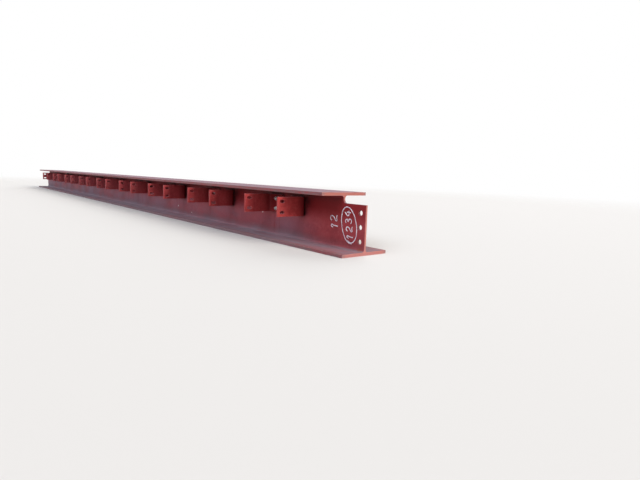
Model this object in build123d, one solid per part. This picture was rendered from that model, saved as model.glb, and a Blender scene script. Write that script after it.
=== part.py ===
from build123d import *
import os

# A fabricated steel universal column, 254 x 254 x 73 kg/m, lying on one flange.
# X runs along the column with its near end at +X, Z is up, and the cleats stand out towards -Y.
# The origin is on the underside of the lower flange, under the web, at half the length.

# Rolled section
DEPTH = 254.1
WIDTH = 254.6
WEB = 8.6
FLANGE = 14.2
ROOT = 12.7
TOE = 1.5

# Length from web end to web end
LENGTH = 6595.0

# Notch that takes the upper flange off both ends, so that the web can meet another member
NOTCH_LENGTH = 135.0
NOTCH_DEPTH = 46.0
NOTCH_CORNER = 16.0

# Bolt holes through the web at both ends
END_HOLE = 22.0
END_HOLE_EDGE = 30.0
END_HOLE_TOP = 80.0
END_HOLE_PITCH = 60.0
END_HOLES = 3

# Joist lines that the cleats serve, measured from the near end
JOIST_FIRST = 375.0
JOIST_PITCH = 333.0
JOIST_SEAT = 40.0
JOIST_END_CLEAR = 400.0

# Cleats folded from flat bar: one leg lies on the web, the other stands out past the flange
CLEAT_THICK = 10.0
CLEAT_OUT = 160.0
CLEAT_ALONG = 110.0
CLEAT_TALL = 90.0
CLEAT_BEND = 10.0
CLEAT_CLEAR = 8.0

# Slots near the free edge of the standing leg, and bolt holes in the leg on the web
SLOT_WIDE = 14.0
SLOT_LONG = 28.0
SLOT_EDGE = 25.0
BOLT_HOLE = 14.0
BOLT_HEEL = 75.0
ROW_PITCH = 50.0

near_end = LENGTH / 2
far_end = -LENGTH / 2
web_face = -WEB / 2
cleat_top = DEPTH - FLANGE - ROOT - CLEAT_CLEAR
cleat_middle = cleat_top - CLEAT_TALL / 2
row_heights = [cleat_middle - ROW_PITCH / 2, cleat_middle + ROW_PITCH / 2]
joist_count = int((LENGTH - JOIST_FIRST - JOIST_END_CLEAR) // JOIST_PITCH) + 1


def joist_line(number):
    """X of one joist's centre line."""
    return near_end - JOIST_FIRST - number * JOIST_PITCH


def hand(number):
    """Cleats come in pairs that face away from each other: -1 lies towards the far end."""
    return -1 if number % 2 == 0 else 1


def heel(number):
    """X of the outer face of a cleat's standing leg, which the joist is bolted against."""
    return joist_line(number) + hand(number) * JOIST_SEAT / 2


def bolt_line(number):
    """X of the two bolts that hold one cleat to the web."""
    return heel(number) + hand(number) * BOLT_HEEL


def cross_hole(diameter, x, z):
    """A cutter along Y, right across the section."""
    return Pos(x, 0, z) * Rot(90, 0, 0) * Cylinder(diameter / 2, WIDTH)


def section():
    """The I shape in the YZ plane, with the rolled root fillets and the small radii at the flange toes."""
    flanges = Pos(0, FLANGE / 2) * Rectangle(WIDTH, FLANGE)
    flanges += Pos(0, DEPTH - FLANGE / 2) * Rectangle(WIDTH, FLANGE)
    shape = flanges + Pos(0, DEPTH / 2) * Rectangle(WEB, DEPTH)
    roots = [v for v in shape.vertices() if abs(v.X) < WEB]
    shape = fillet(roots, ROOT)
    toes = [v for v in shape.vertices() if abs(v.X) > WIDTH / 2 - TOE]
    return fillet(toes, TOE)


def end_notch(end, inwards):
    """The block removed above the web's tongue, with its inner corner rounded."""
    profile = Pos(inwards * NOTCH_LENGTH / 2, DEPTH - NOTCH_DEPTH / 2) * Rectangle(NOTCH_LENGTH, NOTCH_DEPTH)
    corner = profile.vertices().sort_by_distance((inwards * NOTCH_LENGTH, DEPTH - NOTCH_DEPTH))[0]
    profile = fillet(corner, NOTCH_CORNER)
    return Pos(end, 0, 0) * (Plane.XZ * extrude(profile, WIDTH, both=True))


def column():
    """The rolled length with its notches, its end holes and the bolt holes for the cleats."""
    bar = Plane.YZ * section()
    solid = Pos(far_end, 0, 0) * extrude(bar, LENGTH, dir=(1, 0, 0))
    for end, inwards in ((near_end, -1), (far_end, 1)):
        solid -= end_notch(end, inwards)
        for row in range(END_HOLES):
            z = DEPTH - END_HOLE_TOP - row * END_HOLE_PITCH
            solid -= cross_hole(END_HOLE, end + inwards * END_HOLE_EDGE, z)
    for number in range(joist_count):
        for z in row_heights:
            solid -= cross_hole(BOLT_HOLE, bolt_line(number), z)
    return solid


def cleat(number):
    """One folded cleat, flat on the web's near face."""
    side = hand(number)
    corners = [
        (0, 0),
        (side * CLEAT_ALONG, 0),
        (side * CLEAT_ALONG, -CLEAT_THICK),
        (side * CLEAT_THICK, -CLEAT_THICK),
        (side * CLEAT_THICK, -CLEAT_OUT),
        (0, -CLEAT_OUT),
    ]
    profile = make_face(Polyline(*corners, close=True))
    inner = profile.vertices().sort_by_distance((side * CLEAT_THICK, -CLEAT_THICK))[0]
    profile = fillet(inner, CLEAT_BEND)
    outer = profile.vertices().sort_by_distance((0, 0))[0]
    profile = fillet(outer, CLEAT_BEND + CLEAT_THICK)
    solid = Pos(heel(number), web_face, cleat_top - CLEAT_TALL) * extrude(profile, CLEAT_TALL, dir=(0, 0, 1))
    slot = Plane.YZ * SlotOverall(SLOT_LONG, SLOT_WIDE)
    slot_y = web_face - CLEAT_OUT + SLOT_EDGE
    for z in row_heights:
        solid -= cross_hole(BOLT_HOLE, bolt_line(number), z)
        solid -= Pos(heel(number), slot_y, z) * extrude(slot, 2 * CLEAT_THICK, both=True)
    return solid


os.makedirs("parts", exist_ok=True)
export_step(column(), "parts/column.step")
for number in range(joist_count):
    export_step(cleat(number), f"parts/web_cleat_{number + 1:02d}.step")
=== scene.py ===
import random
from math import cos, pi, radians, sin, tan

import bpy
from mathutils import Matrix, Vector


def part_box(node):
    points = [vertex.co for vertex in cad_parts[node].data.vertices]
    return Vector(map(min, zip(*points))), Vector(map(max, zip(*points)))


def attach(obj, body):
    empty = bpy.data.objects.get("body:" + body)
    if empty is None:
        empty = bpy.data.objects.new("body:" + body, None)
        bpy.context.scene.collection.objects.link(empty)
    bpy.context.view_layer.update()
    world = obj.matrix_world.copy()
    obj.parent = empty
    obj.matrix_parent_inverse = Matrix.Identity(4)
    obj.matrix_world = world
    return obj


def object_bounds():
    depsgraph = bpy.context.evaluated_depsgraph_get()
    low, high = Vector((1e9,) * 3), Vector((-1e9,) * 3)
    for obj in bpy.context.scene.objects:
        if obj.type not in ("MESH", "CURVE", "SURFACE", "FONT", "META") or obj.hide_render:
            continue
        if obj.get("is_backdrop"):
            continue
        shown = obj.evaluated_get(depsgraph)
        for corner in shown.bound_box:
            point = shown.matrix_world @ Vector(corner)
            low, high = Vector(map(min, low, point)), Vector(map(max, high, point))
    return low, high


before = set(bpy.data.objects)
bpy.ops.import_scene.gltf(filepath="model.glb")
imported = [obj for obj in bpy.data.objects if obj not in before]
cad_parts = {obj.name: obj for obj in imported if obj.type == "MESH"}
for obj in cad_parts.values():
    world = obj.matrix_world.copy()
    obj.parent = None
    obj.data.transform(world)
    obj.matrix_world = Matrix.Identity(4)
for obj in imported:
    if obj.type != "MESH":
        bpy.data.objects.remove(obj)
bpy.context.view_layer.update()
bpy.ops.object.select_all(action="DESELECT")

# Column
# One length of hot-rolled H-section steel, shot-blasted and sprayed with a matt red-oxide primer.
# Its flanges are rubbed along the edges by handling, and dust lies on what faces up.

PRIMER = (0.33, 0.044, 0.052, 1)
PRIMER_THIN = (0.38, 0.08, 0.085, 1)
PRIMER_DEEP = (0.21, 0.025, 0.033, 1)
# The next colour is painted shade, for the web under the upper flange
UNDER_FLANGE_SHADE = (0.2, 0.009, 0.012, 1)
CUT_END = (0.46, 0.2, 0.165, 1)
RUBBED = (0.34, 0.2, 0.21, 1)
WORN_TOE = (0.19, 0.127, 0.133, 1)
STRUCK = (0.75, 0.66, 0.66, 1)
# The next colour is a dust film together with painted sky sheen, which greys the web
FILM_AND_SHEEN = (0.2, 0.118, 0.16, 1)
DUST = (0.25, 0.215, 0.25, 1)
# The next colour is painted shade, laid in corners
CORNER_SHADE = (0.05, 0.007, 0.009, 1)
STAIN = (0.27, 0.085, 0.03, 1)

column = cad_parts["column"]
column_low, column_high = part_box("column")
TOE_Y = column_high.y
WEB_THICK = 0.0086
FLANGE_TOP = 0.0142
ROOT_FOOT = 0.020
DUST_TOP = 0.060

# Out from the middle of the web, where the toe zone of a flange starts and is full
TOE_ZONE = 0.100
TOE_ZONE_FULL = 0.120

# Along the column, where the coat is still clean, where film and painted sheen lie on it, and where they
# are thickest
CLEAN_END = 3.1
FILM_AND_SHEEN_START = 2.7
FILM_AND_SHEEN_THICKEST = column_low.x * 0.4

# In height, where the painted shade under the upper flange starts and is full, and where its top face ends
# it
SHADE_START = column_high.z * 0.38
SHADE_FULL = column_high.z * 0.74
SHADE_LAST = 0.2515
SHADE_END = 0.2535

# Where grit has struck the web, as (x, z) and the width of the spot
STRUCK_SPOTS = [(2.533, 0.119, 0.010), (1.434, 0.070, 0.011), (1.655, 0.040, 0.008)]

# Where water has stood at the web's foot and stained it, at the near end
STAIN_X = 3.272
STAIN_WIDE = 0.034
STAIN_STRENGTH = 0.45

# The same for the column and its cleats: how deep the coat's texture is, and how little it shines
COAT_DEPTH = 0.0004
COAT_SHINE = 0.18


def add(tree, kind, **settings):
    """One shader node with its own settings."""
    node = tree.nodes.new("ShaderNode" + kind)
    for name, value in settings.items():
        setattr(node, name, value)
    return node


def join(tree, socket, value):
    """Gives an input socket a plain value or another node's output."""
    if isinstance(value, bpy.types.NodeSocket):
        tree.links.new(value, socket)
    else:
        socket.default_value = value


def feed(tree, node, **values):
    """Fills a node's input sockets by name."""
    for name, value in values.items():
        join(tree, node.inputs[name.replace("_", " ")], value)
    return node


def maths(tree, operation, first, second=0.0):
    """A Math node on one or two values."""
    node = add(tree, "Math", operation=operation)
    join(tree, node.inputs[0], first)
    join(tree, node.inputs[1], second)
    return node.outputs[0]


def times(tree, *masks):
    """Where all the masks hold."""
    product = masks[0]
    for mask in masks[1:]:
        product = maths(tree, "MULTIPLY", product, mask)
    return product


def between(tree, value, low, high, to_low=0.0, to_high=1.0):
    """Maps low..high to to_low..to_high, smoothly and with both ends held."""
    node = add(tree, "MapRange", interpolation_type="SMOOTHSTEP")
    feed(tree, node, Value=value, From_Min=low, From_Max=high, To_Min=to_low, To_Max=to_high)
    return node.outputs[0]


def noise(tree, place, scale, detail=4.0, roughness=0.55, stretch=(1, 1, 1)):
    """Noise over the surface. A large stretch number makes its cells narrow along that axis."""
    mapping = feed(tree, add(tree, "Mapping"), Vector=place, Scale=stretch)
    texture = add(tree, "TexNoise")
    feed(tree, texture, Vector=mapping.outputs[0], Scale=scale, Detail=detail, Roughness=roughness)
    return texture.outputs["Fac"]


def lay_over(tree, mask, under, over):
    """Colour over lies on colour under where the mask is 1."""
    node = add(tree, "Mix", data_type="RGBA")
    join(tree, node.inputs[0], mask)
    join(tree, node.inputs[6], under)
    join(tree, node.inputs[7], over)
    return node.outputs[2]


def new_group(name, inputs, outputs):
    """An empty node group. Inputs are (name, kind, value) and outputs are (name, kind)."""
    tree = bpy.data.node_groups.new(name, "ShaderNodeTree")
    for label, kind, value in inputs:
        socket = tree.interface.new_socket(label, in_out="INPUT", socket_type="NodeSocket" + kind)
        socket.default_value = value
    for label, kind in outputs:
        tree.interface.new_socket(label, in_out="OUTPUT", socket_type="NodeSocket" + kind)
    return tree, tree.nodes.new("NodeGroupInput").outputs, tree.nodes.new("NodeGroupOutput").inputs


def use_group(tree, group, **values):
    """A node that holds a group, with its own values."""
    node = tree.nodes.new("ShaderNodeGroup")
    node.node_tree = group
    return feed(tree, node, **values).outputs


# Sprayed coat: broad spray bands, mottling and dry overspray, over the blasted texture of the steel
sprayed_coat, given, made = new_group(
    "sprayed_coat",
    [("Base", "Color", PRIMER), ("Thin", "Color", PRIMER_THIN), ("Deep", "Color", PRIMER_DEEP)],
    [("Color", "Color"), ("Height", "Float")],
)
tree = sprayed_coat
place = add(tree, "TexCoord").outputs["Object"]
bands = noise(tree, place, 1.7, detail=3, stretch=(1.0, 3.0, 4.0))
mottle = noise(tree, place, 15.0, detail=6, roughness=0.62)
speckle = noise(tree, place, 430.0, detail=2)
chalky = noise(tree, place, 75.0, detail=8, roughness=0.75)
blast = noise(tree, place, 700.0, detail=3, roughness=0.7)
peel = noise(tree, place, 130.0, detail=2)
thin = between(tree, maths(tree, "ADD", bands, maths(tree, "MULTIPLY", mottle, 0.7)), 0.82, 1.15, 0.0, 0.7)
deep = between(tree, maths(tree, "ADD", bands, mottle), 0.98, 0.74, 0.0, 0.6)
dry = between(tree, speckle, 0.56, 0.75, 0.0, 0.35)
colour = lay_over(tree, thin, given["Base"], given["Thin"])
colour = lay_over(tree, deep, colour, given["Deep"])
colour = lay_over(tree, dry, colour, given["Thin"])
colour = lay_over(tree, between(tree, chalky, 0.5, 0.68, 0.0, 0.5), colour, given["Thin"])
colour = lay_over(tree, between(tree, chalky, 0.5, 0.36, 0.0, 0.35), colour, given["Deep"])
join(tree, made["Color"], colour)
join(tree, made["Height"], maths(tree, "ADD", blast, peel))

# Rubbed edges: where a rounded normal leaves the face's own, in broken runs
rubbed_edges, given, made = new_group(
    "rubbed_edges", [("Reach", "Float", 0.003), ("Broken", "Float", 0.5)], [("Mask", "Float")]
)
tree = rubbed_edges
rounded = feed(tree, add(tree, "Bevel", samples=6), Radius=given["Reach"])
facing = add(tree, "VectorMath", operation="DOT_PRODUCT")
join(tree, facing.inputs[0], rounded.outputs["Normal"])
join(tree, facing.inputs[1], add(tree, "NewGeometry").outputs["Normal"])
on_edge = between(tree, facing.outputs["Value"], 0.995, 0.86)
place = add(tree, "TexCoord").outputs["Object"]
broken = noise(tree, place, 22.0, detail=7, roughness=0.7)
least = maths(tree, "SUBTRACT", given["Broken"], 0.12)
most = maths(tree, "ADD", given["Broken"], 0.1)
join(tree, made["Mask"], times(tree, on_edge, between(tree, broken, least, most)))

# Lying dust: on what faces up, in drifts along the column
lying_dust, given, made = new_group("lying_dust", [("Amount", "Float", 0.6)], [("Mask", "Float")])
tree = lying_dust
facing = add(tree, "SeparateXYZ")
join(tree, facing.inputs[0], add(tree, "NewGeometry").outputs["Normal"])
upward = between(tree, facing.outputs["Z"], 0.35, 0.95)
place = add(tree, "TexCoord").outputs["Object"]
drift = noise(tree, place, 5.0, detail=8, roughness=0.68, stretch=(0.7, 3.5, 3.5))
cover = between(tree, drift, 0.3, 0.62, 0.5, 1.0)
grains = between(tree, noise(tree, place, 240.0, detail=4, roughness=0.7), 0.36, 0.6, 0.65, 1.0)
join(tree, made["Mask"], times(tree, upward, cover, grains, given["Amount"]))

# Rain runs: thin streaks down upright faces
rain_runs, given, made = new_group("rain_runs", [("Amount", "Float", 0.5)], [("Mask", "Float")])
tree = rain_runs
place = add(tree, "TexCoord").outputs["Object"]
streak = noise(tree, place, 1.0, detail=3, roughness=0.5, stretch=(38.0, 38.0, 3.5))
patch = noise(tree, place, 2.2, detail=2)
wet = times(tree, between(tree, streak, 0.54, 0.68), between(tree, patch, 0.42, 0.6))
join(tree, made["Mask"], times(tree, wet, given["Amount"]))

# Painted corner shade: darkens the colour in corners and round what is bolted on, as far as the reach, in
# clotted patches
painted_corner_shade, given, made = new_group("painted_corner_shade", [("Reach", "Float", 0.015)], [("Mask", "Float")])
tree = painted_corner_shade
shelter = feed(tree, add(tree, "AmbientOcclusion", samples=8), Distance=given["Reach"])
place = add(tree, "TexCoord").outputs["Object"]
clotted = noise(tree, place, 60.0, detail=6, roughness=0.65)
corner = between(tree, shelter.outputs["AO"], 0.85, 0.45)
join(tree, made["Mask"], times(tree, corner, between(tree, clotted, 0.25, 0.6, 0.45, 1.0)))

# Scrapes: short pale scratches along the column, where it has slid in handling
slid_scrapes, given, made = new_group("slid_scrapes", [("Amount", "Float", 0.6)], [("Mask", "Float")])
tree = slid_scrapes
place = add(tree, "TexCoord").outputs["Object"]
scratch = noise(tree, place, 1.0, detail=5, roughness=0.75, stretch=(26.0, 210.0, 210.0))
where = noise(tree, place, 3.1, detail=3, stretch=(1.0, 2.0, 2.0))
bare = times(tree, between(tree, scratch, 0.67, 0.73), between(tree, where, 0.52, 0.62))
join(tree, made["Mask"], times(tree, bare, given["Amount"]))

# Struck spot: one small ragged mark, about as wide as Width, round Centre
struck_spot, given, made = new_group(
    "struck_spot", [("Centre", "Vector", (0, 0, 0)), ("Width", "Float", 0.01)], [("Mask", "Float")]
)
tree = struck_spot
place = add(tree, "TexCoord").outputs["Object"]
apart = add(tree, "VectorMath", operation="DISTANCE")
join(tree, apart.inputs[0], place)
join(tree, apart.inputs[1], given["Centre"])
ragged = times(tree, noise(tree, place, 190.0, detail=4, roughness=0.7), given["Width"])
reached = maths(tree, "ADD", apart.outputs["Value"], ragged)
near = maths(tree, "MULTIPLY", given["Width"], 0.85)
join(tree, made["Mask"], between(tree, reached, given["Width"], near))


def new_material(name):
    """A material with its Principled shader, and nothing else yet."""
    material = bpy.data.materials.new(name)
    material.use_nodes = True
    tree = material.node_tree
    tree.nodes.clear()
    shader = add(tree, "BsdfPrincipled")
    surface = add(tree, "OutputMaterial")
    join(tree, surface.inputs["Surface"], shader.outputs[0])
    return material, tree, shader


def finish_node(node, material):
    """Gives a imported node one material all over."""
    node.data.materials.clear()
    node.data.materials.append(material)


column_primer, tree, shader = new_material("column_primer_finish")
place = add(tree, "TexCoord").outputs["Object"]
axis = add(tree, "SeparateXYZ")
join(tree, axis.inputs[0], place)
facing = add(tree, "SeparateXYZ")
join(tree, facing.inputs[0], add(tree, "NewGeometry").outputs["Normal"])
coat = use_group(tree, sprayed_coat, Base=PRIMER, Thin=PRIMER_THIN, Deep=PRIMER_DEEP)

# A mauve dust film and a painted sky sheen grey the coat. They start some way in from the near end, grow
# towards the far end, and are thickest low on the web
film = noise(tree, place, 3.0, detail=5, roughness=0.6, stretch=(1.0, 1.0, 2.5))
near_film_and_sheen = between(tree, axis.outputs["X"], CLEAN_END, FILM_AND_SHEEN_START, 0.05, 0.7)
far_film_and_sheen = between(tree, axis.outputs["X"], FILM_AND_SHEEN_START, FILM_AND_SHEEN_THICKEST, 0.0, 0.3)
along = maths(tree, "ADD", near_film_and_sheen, far_film_and_sheen)
low_down = between(tree, axis.outputs["Z"], column_high.z * 0.85, column_high.z * 0.2, 0.15, 1.0)
film_and_sheen_mask = times(tree, between(tree, film, 0.3, 0.66, 0.4, 1.0), along, low_down)
colour = lay_over(tree, film_and_sheen_mask, coat["Color"], FILM_AND_SHEEN)

# Painted shade: under the upper flange, inside its toes, the coat is painted deeper and cleaner, where the
# flange's shade falls
from_web = maths(tree, "ABSOLUTE", axis.outputs["Y"])
under = between(tree, axis.outputs["Z"], SHADE_START, SHADE_FULL, 0.0, 0.85)
below_top = between(tree, axis.outputs["Z"], SHADE_END, SHADE_LAST)
inside_toes = between(tree, from_web, TOE_ZONE_FULL, TOE_ZONE)
colour = lay_over(tree, times(tree, under, below_top, inside_toes), colour, UNDER_FLANGE_SHADE)

# The film is thick on the top face of the upper flange, the most exposed one
top_face = between(tree, axis.outputs["Z"], SHADE_LAST, SHADE_END)
weathered = times(tree, top_face, between(tree, film, 0.3, 0.66, 0.55, 0.9))
colour = lay_over(tree, weathered, colour, FILM_AND_SHEEN)
colour = lay_over(tree, use_group(tree, rain_runs, Amount=0.45)["Mask"], colour, PRIMER_DEEP)

# The coat is thinner on the faces sawn across the column, and shows the saw's lines
cut_face = between(tree, maths(tree, "ABSOLUTE", facing.outputs["X"]), 0.9, 0.99)
colour = lay_over(tree, times(tree, cut_face, 0.6), colour, CUT_END)
saw_lines = times(tree, noise(tree, place, 1.0, detail=2, stretch=(0.0, 25.0, 1100.0)), cut_face)

# Dust lies on what faces up, thinner towards the toes and on the upper flange's top face, and climbs
# the foot of the web
inner = between(tree, from_web, TOE_Y * 0.97, TOE_Y * 0.72, 0.35, 1.0)
on_top = between(tree, axis.outputs["Z"], SHADE_LAST, SHADE_END, 1.0, 0.55)
lying = times(tree, use_group(tree, lying_dust, Amount=0.95)["Mask"], inner, on_top)
in_from_end = between(tree, axis.outputs["X"], CLEAN_END, FILM_AND_SHEEN_START, 0.25, 1.0)
climbing = between(tree, axis.outputs["Z"], DUST_TOP, ROOT_FOOT, 0.0, 0.6)
patchy = between(tree, film, 0.3, 0.6, 0.5, 1.0)
dust = maths(tree, "MAXIMUM", lying, times(tree, climbing, in_from_end, patchy))
colour = lay_over(tree, dust, colour, DUST)

# Painted shade darkens the corners beside the cleats and under the flange, but not the dust at the web's
# foot
above_foot = between(tree, axis.outputs["Z"], ROOT_FOOT, DUST_TOP)
corner_shaded = use_group(tree, painted_corner_shade, Reach=0.08)["Mask"]
colour = lay_over(tree, times(tree, corner_shaded, above_foot), colour, CORNER_SHADE)

# Handling wears the toes grey and their arrises pale
toe_band = between(tree, from_web, TOE_Y * 0.78, TOE_Y * 0.99, 0.0, 0.85)
rubs = noise(tree, place, 120.0, detail=9, roughness=0.8, stretch=(0.18, 1.0, 1.0))
toe_wear = times(tree, toe_band, between(tree, rubs, 0.44, 0.56, 0.3, 1.0))
colour = lay_over(tree, toe_wear, colour, WORN_TOE)
across = maths(tree, "ABSOLUTE", facing.outputs["Y"])
upright = maths(tree, "ABSOLUTE", facing.outputs["Z"])
turning = between(tree, times(tree, across, upright), 0.08, 0.35)
arris = times(tree, turning, between(tree, from_web, TOE_ZONE, TOE_ZONE_FULL))
colour = lay_over(tree, times(tree, arris, between(tree, rubs, 0.38, 0.55, 0.1, 0.65)), colour, RUBBED)
colour = lay_over(tree, use_group(tree, rubbed_edges, Reach=0.003, Broken=0.5)["Mask"], colour, RUBBED)
colour = lay_over(tree, use_group(tree, slid_scrapes, Amount=0.6)["Mask"], colour, RUBBED)

# The water stain and the struck spots are on the side of the web that has the cleats
stain_place = (STAIN_X, 0, FLANGE_TOP)
stain = use_group(tree, struck_spot, Centre=stain_place, Width=STAIN_WIDE)["Mask"]
cleat_side = between(tree, axis.outputs["Y"], 0.0, -0.002)
colour = lay_over(tree, times(tree, stain, cleat_side, STAIN_STRENGTH), colour, STAIN)
for x, z, wide in STRUCK_SPOTS:
    spot = use_group(tree, struck_spot, Centre=(x, -WEB_THICK / 2, z), Width=wide)["Mask"]
    colour = lay_over(tree, spot, colour, STRUCK)

roughness = between(tree, dust, 0.0, 1.0, 0.62, 0.9)
height = maths(tree, "ADD", coat["Height"], saw_lines)
bump = feed(tree, add(tree, "Bump"), Strength=0.35, Distance=COAT_DEPTH, Height=height)
feed(tree, shader, Base_Color=colour, Roughness=roughness, Normal=bump.outputs[0])
feed(tree, shader, Specular_IOR_Level=COAT_SHINE)
finish_node(column, column_primer)

# Web cleats
# Short lengths of 90 mm flat bar, folded to an angle, slotted and drilled. They were sprayed apart from
# the column, with a redder and cleaner coat, and lie flat on the web.

CLEAT_THICK = 0.010
CLEAT_PRIMER = (0.34, 0.036, 0.04, 1)
CLEAT_THIN = (0.42, 0.08, 0.075, 1)
CLEAT_DEEP = (0.22, 0.018, 0.02, 1)
CLEAT_FILM = (0.15, 0.062, 0.08, 1)
# The next colour is a lighter, redder copy of the cleats' coat, for painted light
CLEAT_LIT = (0.405, 0.046, 0.047, 1)
# The next colour is painted shade, for the legs near the web
CLEAT_SHADE = (0.16, 0.009, 0.013, 1)

# Along the column, where painted light on the cleats starts, and where it is strongest
LIT_START = 2.5
LIT_FULL = 2.85

# Out from the middle of the web, where the painted shade on a cleat is full, and where it ends
LEG_SHADE_FULL = 0.016
LEG_SHADE_END = 0.070

cleat_primer, tree, shader = new_material("cleat_primer_finish")
axis = add(tree, "SeparateXYZ")
join(tree, axis.inputs[0], add(tree, "TexCoord").outputs["Object"])

# Painted light: the first cleat is painted lighter and redder, the second a little of it
lit_near_end = between(tree, axis.outputs["X"], LIT_START, LIT_FULL)
base = lay_over(tree, lit_near_end, CLEAT_PRIMER, CLEAT_LIT)
coat = use_group(tree, sprayed_coat, Base=base, Thin=CLEAT_THIN, Deep=CLEAT_DEEP)
colour = lay_over(tree, use_group(tree, rain_runs, Amount=0.35)["Mask"], coat["Color"], CLEAT_DEEP)
along = between(tree, axis.outputs["X"], column_high.x * 0.9, FILM_AND_SHEEN_THICKEST, 0.0, 0.4)
colour = lay_over(tree, along, colour, CLEAT_FILM)

# Painted shade: the coat is painted deeper where the leg comes in under the flange, towards the web, where
# the flange's shade falls
from_web = maths(tree, "ABSOLUTE", axis.outputs["Y"])
against_web = between(tree, from_web, LEG_SHADE_END, LEG_SHADE_FULL, 0.0, 0.9)
colour = lay_over(tree, against_web, colour, CLEAT_SHADE)
dust = use_group(tree, lying_dust, Amount=0.5)["Mask"]
colour = lay_over(tree, dust, colour, DUST)
# Painted shade in the corners at the web and round the bolts
colour = lay_over(tree, use_group(tree, painted_corner_shade, Reach=0.008)["Mask"], colour, CORNER_SHADE)
colour = lay_over(tree, use_group(tree, rubbed_edges, Reach=0.002, Broken=0.52)["Mask"], colour, RUBBED)
roughness = between(tree, dust, 0.0, 1.0, 0.58, 0.88)
bump = feed(tree, add(tree, "Bump"), Strength=0.32, Distance=COAT_DEPTH, Height=coat["Height"])
feed(tree, shader, Base_Color=colour, Roughness=roughness, Normal=bump.outputs[0])
feed(tree, shader, Specular_IOR_Level=COAT_SHINE)

cleat_names = sorted(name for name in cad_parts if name.startswith("web_cleat"))
for name in cleat_names:
    finish_node(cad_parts[name], cleat_primer)

# Bolts, nuts and washers
# Two M12 hexagon bolts hold each cleat, all zinc plated. Each head bears on the web's plain face through
# a washer, and on the cleat a second washer and a nut leave a few turns of thread in sight.

ROUND = 24
ACROSS_FLATS = 0.018
CORNER_RADIUS = ACROSS_FLATS / 2 / cos(pi / 6)
HEAD_TALL = 0.0075
NUT_TALL = 0.0108
CORNER_CHAMFER = 0.001
CHAMFER_ANGLE = radians(30)
SHANK_RADIUS = 0.006
BOLT_LENGTH = 0.040
THREAD_PITCH = 0.00175
THREAD_TURNS = 5
THREAD_ROOT = 0.86
POINT_TALL = 0.0012
BORE_RADIUS = 0.0061
BORE_MOUTH = 0.0068
WASHER_RADIUS = 0.012
WASHER_HOLE = 0.0065
WASHER_THICK = 0.0025
WASHER_EDGE = 0.0003
BOLT_HEEL = 0.075
ROW_PITCH = 0.050
FINE_DEPTH = 0.0002
SHARP_ANGLE = radians(28)
ZINC_DULL = (0.5, 0.52, 0.55, 1)
ZINC_BRIGHT = (0.68, 0.68, 0.67, 1)
ZINC_TARNISHED = (0.42, 0.39, 0.33, 1)

zinc, tree, shader = new_material("zinc_plate")
place = add(tree, "TexCoord").outputs["Object"]
bloom = noise(tree, place, 160.0, detail=5, roughness=0.65)
tarnish = noise(tree, place, 7.0, detail=2)
colour = lay_over(tree, between(tree, bloom, 0.35, 0.65), ZINC_DULL, ZINC_BRIGHT)
colour = lay_over(tree, between(tree, tarnish, 0.5, 0.62, 0.0, 0.5), colour, ZINC_TARNISHED)
# Painted shade in the corners between head, nut, washer and steel
colour = lay_over(tree, use_group(tree, painted_corner_shade, Reach=0.003)["Mask"], colour, CORNER_SHADE)
bump = feed(tree, add(tree, "Bump"), Strength=0.15, Distance=FINE_DEPTH, Height=bloom)
roughness = between(tree, bloom, 0.3, 0.7, 0.48, 0.32)
feed(tree, shader, Base_Color=colour, Metallic=0.9, Roughness=roughness, Normal=bump.outputs[0])


def turned_blank(name, radius, near, far):
    """A round bar along Y, from near to far, on the line x = z = 0."""
    middle = (0, (near + far) / 2, 0)
    bpy.ops.mesh.primitive_cylinder_add(
        vertices=ROUND, radius=radius, depth=far - near, location=middle, rotation=(pi / 2, 0, 0)
    )
    bpy.ops.object.transform_apply(location=True, rotation=True, scale=True)
    bpy.context.object.name = name
    return bpy.context.object


def pick_ends(piece, *ways):
    """Selects the blank's end faces that look along the given ways of Y, and stays in edit mode."""
    bpy.ops.object.mode_set(mode="EDIT")
    bpy.ops.mesh.select_mode(type="FACE")
    bpy.ops.mesh.select_all(action="DESELECT")
    bpy.ops.object.mode_set(mode="OBJECT")
    for face in piece.data.polygons:
        face.select = len(face.vertices) == ROUND and any(face.normal.y * way > 0.9 for way in ways)
    bpy.ops.object.mode_set(mode="EDIT")


def step_in(before, after, rise=0.0):
    """Insets the selected ends from one radius to a smaller one. A rise stands the new face out."""
    bpy.ops.mesh.inset(thickness=(before - after) * cos(pi / ROUND), depth=rise)


def step_out(along, y, scale=1.0):
    """Extrudes the selected end along Y to y, and sizes it about the axis."""
    bpy.ops.mesh.extrude_region_move(TRANSFORM_OT_translate={"value": (0, along, 0)})
    bpy.ops.transform.resize(value=(scale, 1, scale), center_override=(0, y, 0))


def cut_flats():
    """Cuts the six flats of hexagon bar off the blank that is being edited."""
    for flat in range(6):
        out = Vector((cos(flat * pi / 3), 0, sin(flat * pi / 3)))
        bpy.ops.mesh.select_all(action="SELECT")
        bpy.ops.mesh.bisect(plane_co=out * ACROSS_FLATS / 2, plane_no=out, use_fill=True, clear_outer=True)


def bore_through():
    """Joins the two selected end faces by the wall of a hole."""
    bpy.ops.mesh.bridge_edge_loops()


def shade(piece):
    """Smooth walls, with the corners left sharp."""
    bpy.ops.object.mode_set(mode="OBJECT")
    bpy.ops.object.shade_smooth_by_angle(angle=SHARP_ANGLE)
    bpy.ops.object.select_all(action="DESELECT")


CHAMFER_IN = CORNER_CHAMFER / tan(CHAMFER_ANGLE)
cleat_face = -WEB_THICK / 2 - CLEAT_THICK
head_seat = WEB_THICK / 2 + WASHER_THICK
nut_seat = cleat_face - WASHER_THICK

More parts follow.
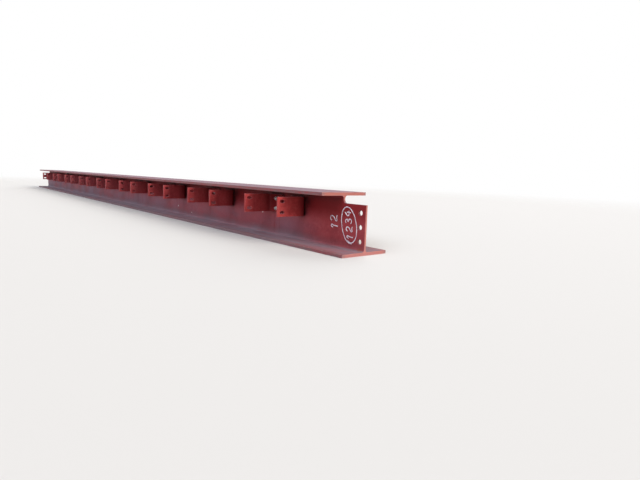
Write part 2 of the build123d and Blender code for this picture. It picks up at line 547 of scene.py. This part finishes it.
bolt = turned_blank("bolt", CORNER_RADIUS, head_seat, head_seat + HEAD_TALL - CORNER_CHAMFER)
pick_ends(bolt, 1)
step_in(CORNER_RADIUS, CORNER_RADIUS - CHAMFER_IN, CORNER_CHAMFER)
pick_ends(bolt, -1)
step_in(CORNER_RADIUS, SHANK_RADIUS)
plain_end = head_seat - BOLT_LENGTH + THREAD_TURNS * THREAD_PITCH + POINT_TALL
step_out(plain_end - head_seat, plain_end)
for turn in range(THREAD_TURNS):
    groove = plain_end - (turn + 0.5) * THREAD_PITCH
    step_out(-THREAD_PITCH / 2, groove, THREAD_ROOT)
    step_out(-THREAD_PITCH / 2, groove - THREAD_PITCH / 2, 1 / THREAD_ROOT)
step_out(-POINT_TALL, head_seat - BOLT_LENGTH, THREAD_ROOT)
cut_flats()
shade(bolt)

nut = turned_blank("nut", CORNER_RADIUS, nut_seat - NUT_TALL + CORNER_CHAMFER, nut_seat - CORNER_CHAMFER)
pick_ends(nut, 1, -1)
step_in(CORNER_RADIUS, CORNER_RADIUS - CHAMFER_IN, CORNER_CHAMFER)
step_in(CORNER_RADIUS - CHAMFER_IN, BORE_MOUTH)
step_in(BORE_MOUTH, BORE_RADIUS, BORE_RADIUS - BORE_MOUTH)
bore_through()
cut_flats()
shade(nut)

washer = turned_blank("washer", WASHER_RADIUS, WEB_THICK / 2, head_seat)
pick_ends(washer, 1, -1)
step_in(WASHER_RADIUS, WASHER_HOLE)
bore_through()
bpy.ops.object.mode_set(mode="OBJECT")
rim = washer.modifiers.new("rim", "BEVEL")
rim.width = WASHER_EDGE
rim.segments = 1
bpy.ops.object.modifier_apply(modifier=rim.name)
shade(washer)


def copy_to(original, x, z, along=0.0, turned=0.0):
    """A copy with its own mesh, turned about its own axis and moved to its place."""
    bpy.ops.object.select_all(action="DESELECT")
    original.select_set(True)
    bpy.context.view_layer.objects.active = original
    bpy.ops.object.duplicate()
    piece = bpy.context.object
    piece.data.transform(Matrix.Translation((x, along, z)) @ Matrix.Rotation(turned, 4, "Y"))
    return piece


def gather(pieces, name):
    """Joins like pieces into one named piece in zinc."""
    bpy.ops.object.select_all(action="DESELECT")
    for piece in pieces:
        piece.select_set(True)
    bpy.context.view_layer.objects.active = pieces[0]
    bpy.ops.object.join()
    piece = bpy.context.object
    piece.name = name
    piece.data.name = name
    piece.data.materials.append(zinc)
    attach(piece, "root")


spanner = random.Random(12)
to_cleat_side = nut_seat - WEB_THICK / 2
for number, name in enumerate(cleat_names):
    low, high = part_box(name)
    x = high.x - BOLT_HEEL if number % 2 == 0 else low.x + BOLT_HEEL
    middle = (low.z + high.z) / 2
    bolts, nuts, washers = [], [], []
    for z in (middle - ROW_PITCH / 2, middle + ROW_PITCH / 2):
        bolts.append(copy_to(bolt, x, z, turned=spanner.uniform(0, pi / 3)))
        nuts.append(copy_to(nut, x, z, turned=spanner.uniform(0, pi / 3)))
        washers.append(copy_to(washer, x, z))
        washers.append(copy_to(washer, x, z, along=to_cleat_side))
    suffix = name[-2:]
    gather(bolts, "bolts_" + suffix)
    gather(nuts, "nuts_" + suffix)
    gather(washers, "washers_" + suffix)
for original in (bolt, nut, washer):
    bpy.data.objects.remove(original)

# Chalk marks
# Two marks drawn on the web by hand in chalk: a number in a ring near the end, and a smaller one
# beside it. Both read upwards, and are plain counting figures.

WEB_FACE = -WEB_THICK / 2
STROKE_WIDE = 0.0054
STROKE_PROUD = 0.00025
FIGURE_TALL = 0.037
FIGURE_STEP = 0.0335
FIGURE_CORNER = (3.228, 0.0555)
SMALL_TALL = 0.043
SMALL_STEP = 0.034
SMALL_CORNER = (3.131, 0.092)
RING_MIDDLE = (3.200, 0.117)
RING_HALF_WIDE = 0.048
RING_HALF_TALL = 0.074
RING_LEAN = 0.18
RING_POINTS = 13
RING_START = radians(-115)
RING_SWEEP = radians(395)
RING_DRIFT = 0.005
CHALK_THIN = (0.7, 0.58, 0.68, 1)
CHALK_FULL = (0.9, 0.86, 0.92, 1)

# Each figure is one or two strokes, in shares of its height: across, then up
FIGURES = {
    1: [[(0.12, 0.74), (0.34, 1.0), (0.33, 0.5), (0.3, 0.0)]],
    2: [[(0.04, 0.76), (0.22, 0.99), (0.5, 0.9), (0.46, 0.56), (0.05, 0.03), (0.34, 0.07), (0.62, 0.02)]],
    3: [[(0.06, 0.9), (0.34, 1.0), (0.5, 0.78), (0.27, 0.55), (0.55, 0.36), (0.42, 0.02), (0.04, 0.1)]],
    4: [[(0.4, 1.0), (0.04, 0.38), (0.6, 0.34)], [(0.42, 0.66), (0.4, 0.33), (0.37, 0.0)]],
}

chalk, tree, shader = new_material("chalk_stroke")
place = add(tree, "TexCoord").outputs["Object"]
grain = noise(tree, place, 900.0, detail=4, roughness=0.75)
pressure = noise(tree, place, 45.0, detail=3)
axis = add(tree, "SeparateXYZ")
join(tree, axis.inputs[0], place)
proud = between(tree, axis.outputs["Y"], WEB_FACE, WEB_FACE - STROKE_PROUD, 0.0, 0.42)
laid = maths(tree, "ADD", proud, maths(tree, "MULTIPLY", pressure, 0.5))
shown = between(tree, maths(tree, "ADD", grain, laid), 0.86, 1.06, 0.0, 1.0)
colour = lay_over(tree, between(tree, pressure, 0.35, 0.7), CHALK_THIN, CHALK_FULL)
bump = feed(tree, add(tree, "Bump"), Strength=0.4, Distance=FINE_DEPTH, Height=grain)
feed(tree, shader, Base_Color=colour, Roughness=0.95, Alpha=shown, Normal=bump.outputs[0])


def draw_stroke(points):
    """One rounded stroke through points (x, z) on the web, as a flattened tube."""
    places = [(x, WEB_FACE, z) for x, z in points]
    bpy.ops.curve.primitive_bezier_curve_add()
    stroke = bpy.context.object
    stroke.data.bevel_depth = STROKE_WIDE / 2
    stroke.data.bevel_resolution = 1
    stroke.data.resolution_u = 6
    stroke.data.use_fill_caps = True
    knots = stroke.data.splines[0].bezier_points
    for knot, point in zip(knots, places):
        knot.co = point
    bpy.ops.object.mode_set(mode="EDIT")
    bpy.ops.curve.select_all(action="DESELECT")
    knots = stroke.data.splines[0].bezier_points
    knots[-1].select_control_point = True
    for point in places[2:]:
        bpy.ops.curve.vertex_add(location=point)
    bpy.ops.curve.select_all(action="SELECT")
    bpy.ops.curve.handle_type_set(type="AUTOMATIC")
    bpy.ops.object.mode_set(mode="OBJECT")
    bpy.ops.object.convert(target="MESH")
    bpy.ops.transform.resize(value=(1, 2 * STROKE_PROUD / STROKE_WIDE, 1), center_override=(0, WEB_FACE, 0))
    bpy.ops.object.transform_apply(location=True, rotation=True, scale=True)
    return stroke


def draw_figures(digits, x, z, tall, step):
    """Figures one above the other from the corner (x, z), with their tops towards the far end."""
    strokes = []
    for place, digit in enumerate(digits):
        base = z + place * step
        for stroke in FIGURES[digit]:
            lean = RING_LEAN * (base - z)
            points = [(x - lean - up * tall, base + across * tall) for across, up in stroke]
            strokes.append(draw_stroke(points))
    return strokes


def finish_mark(strokes, name):
    """Joins the strokes of one mark."""
    bpy.ops.object.select_all(action="DESELECT")
    for stroke in strokes:
        stroke.select_set(True)
    bpy.context.view_layer.objects.active = strokes[0]
    bpy.ops.object.join()
    mark = bpy.context.object
    mark.name = name
    mark.data.name = name
    mark.data.materials.append(chalk)
    bpy.ops.object.shade_smooth()
    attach(mark, "root")
    bpy.ops.object.select_all(action="DESELECT")


ring = []
for step in range(RING_POINTS):
    share = step / (RING_POINTS - 1)
    turn = RING_START + share * RING_SWEEP
    up = (RING_HALF_TALL + RING_DRIFT * share) * sin(turn)
    x = RING_MIDDLE[0] + (RING_HALF_WIDE - RING_DRIFT * share) * cos(turn) - RING_LEAN * up
    ring.append((x, RING_MIDDLE[1] + up))
ringed = [draw_stroke(ring)] + draw_figures((1, 2, 3, 4), *FIGURE_CORNER, FIGURE_TALL, FIGURE_STEP)
finish_mark(ringed, "ringed_number")
finish_mark(draw_figures((1, 2), *SMALL_CORNER, SMALL_TALL, SMALL_STEP), "small_number")

# Floor, light and camera
# A plain pale floor that fades into a white background. A soft key from the near end lights the cut
# faces, a broad fill lights the web's lower half, under the shade of the upper flange, and a third
# light reaches the plain side of the web.

FLOOR = (0.7, 0.69, 0.68, 1)
FLOOR_SIDE = 60.0
FADE_START = 5.0
FADE_END = 11.0

bpy.ops.mesh.primitive_plane_add(size=FLOOR_SIDE, location=(0, 0, 0))
floor = bpy.context.object
floor.name = "floor"
floor_paint, tree, shader = new_material("floor_paint")
feed(tree, shader, Base_Color=FLOOR, Roughness=0.9)
distance = add(tree, "VectorMath", operation="LENGTH")
join(tree, distance.inputs[0], add(tree, "TexCoord").outputs["Object"])
far_off = between(tree, distance.outputs["Value"], FADE_START, FADE_END)
mixed = add(tree, "MixShader")
join(tree, mixed.inputs[0], times(tree, far_off, add(tree, "LightPath").outputs["Is Camera Ray"]))
join(tree, mixed.inputs[1], shader.outputs[0])
join(tree, mixed.inputs[2], add(tree, "Emission").outputs[0])
join(tree, tree.nodes["Material Output"].inputs["Surface"], mixed.outputs[0])
floor.data.materials.append(floor_paint)
floor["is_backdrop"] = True

AMBIENT = 0.08
world = bpy.data.worlds.new("studio")
bpy.context.scene.world = world
world.use_nodes = True
tree = world.node_tree
tree.nodes.clear()
rays = add(tree, "LightPath").outputs
seen = maths(tree, "MAXIMUM", rays["Is Glossy Ray"], rays["Is Transmission Ray"])
seen = maths(tree, "MAXIMUM", seen, rays["Is Camera Ray"])
background = add(tree, "Background")
join(tree, background.inputs["Strength"], between(tree, seen, 0.0, 1.0, AMBIENT, 1.0))
join(tree, background.inputs["Color"], (1, 1, 1, 1))
join(tree, add(tree, "OutputWorld").inputs["Surface"], background.outputs[0])


def soft_sun(name, heading, height, strength, spread, colour):
    """A broad, even light. Heading is where it comes from, in degrees from +X towards +Y."""
    bpy.ops.object.light_add(type="SUN", location=(0, 0, 3))
    lamp = bpy.context.object
    lamp.name = name
    lamp.data.energy = strength
    lamp.data.angle = radians(spread)
    lamp.data.color = colour
    level = cos(radians(height))
    source = Vector((cos(radians(heading)) * level, sin(radians(heading)) * level, sin(radians(height))))
    lamp.rotation_mode = "QUATERNION"
    lamp.rotation_quaternion = source.to_track_quat("Z", "Y")


soft_sun("key", heading=12, height=26, strength=3.4, spread=32, colour=(1.0, 0.94, 0.86))
soft_sun("fill", heading=-78, height=44, strength=2.0, spread=46, colour=(0.88, 0.92, 1.0))
soft_sun("back", heading=115, height=40, strength=1.3, spread=50, colour=(1.0, 1.0, 1.0))

LENS = 26.0
SENSOR = 36.0
EYE = (4.6134, -1.3556, 0.3257)
HEADING = 49.80
TILT = 81.935
ROLL = 2.026

bpy.ops.object.camera_add()
camera = bpy.context.object
camera.data.lens = LENS
camera.data.sensor_width = SENSOR
turn = Matrix.Rotation(radians(HEADING), 4, "Z") @ Matrix.Rotation(radians(TILT), 4, "X")
camera.matrix_world = Matrix.Translation(EYE) @ turn @ Matrix.Rotation(radians(ROLL), 4, "Z")
bpy.context.scene.camera = camera
bpy.context.scene.view_settings.view_transform = "Standard"

low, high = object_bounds()
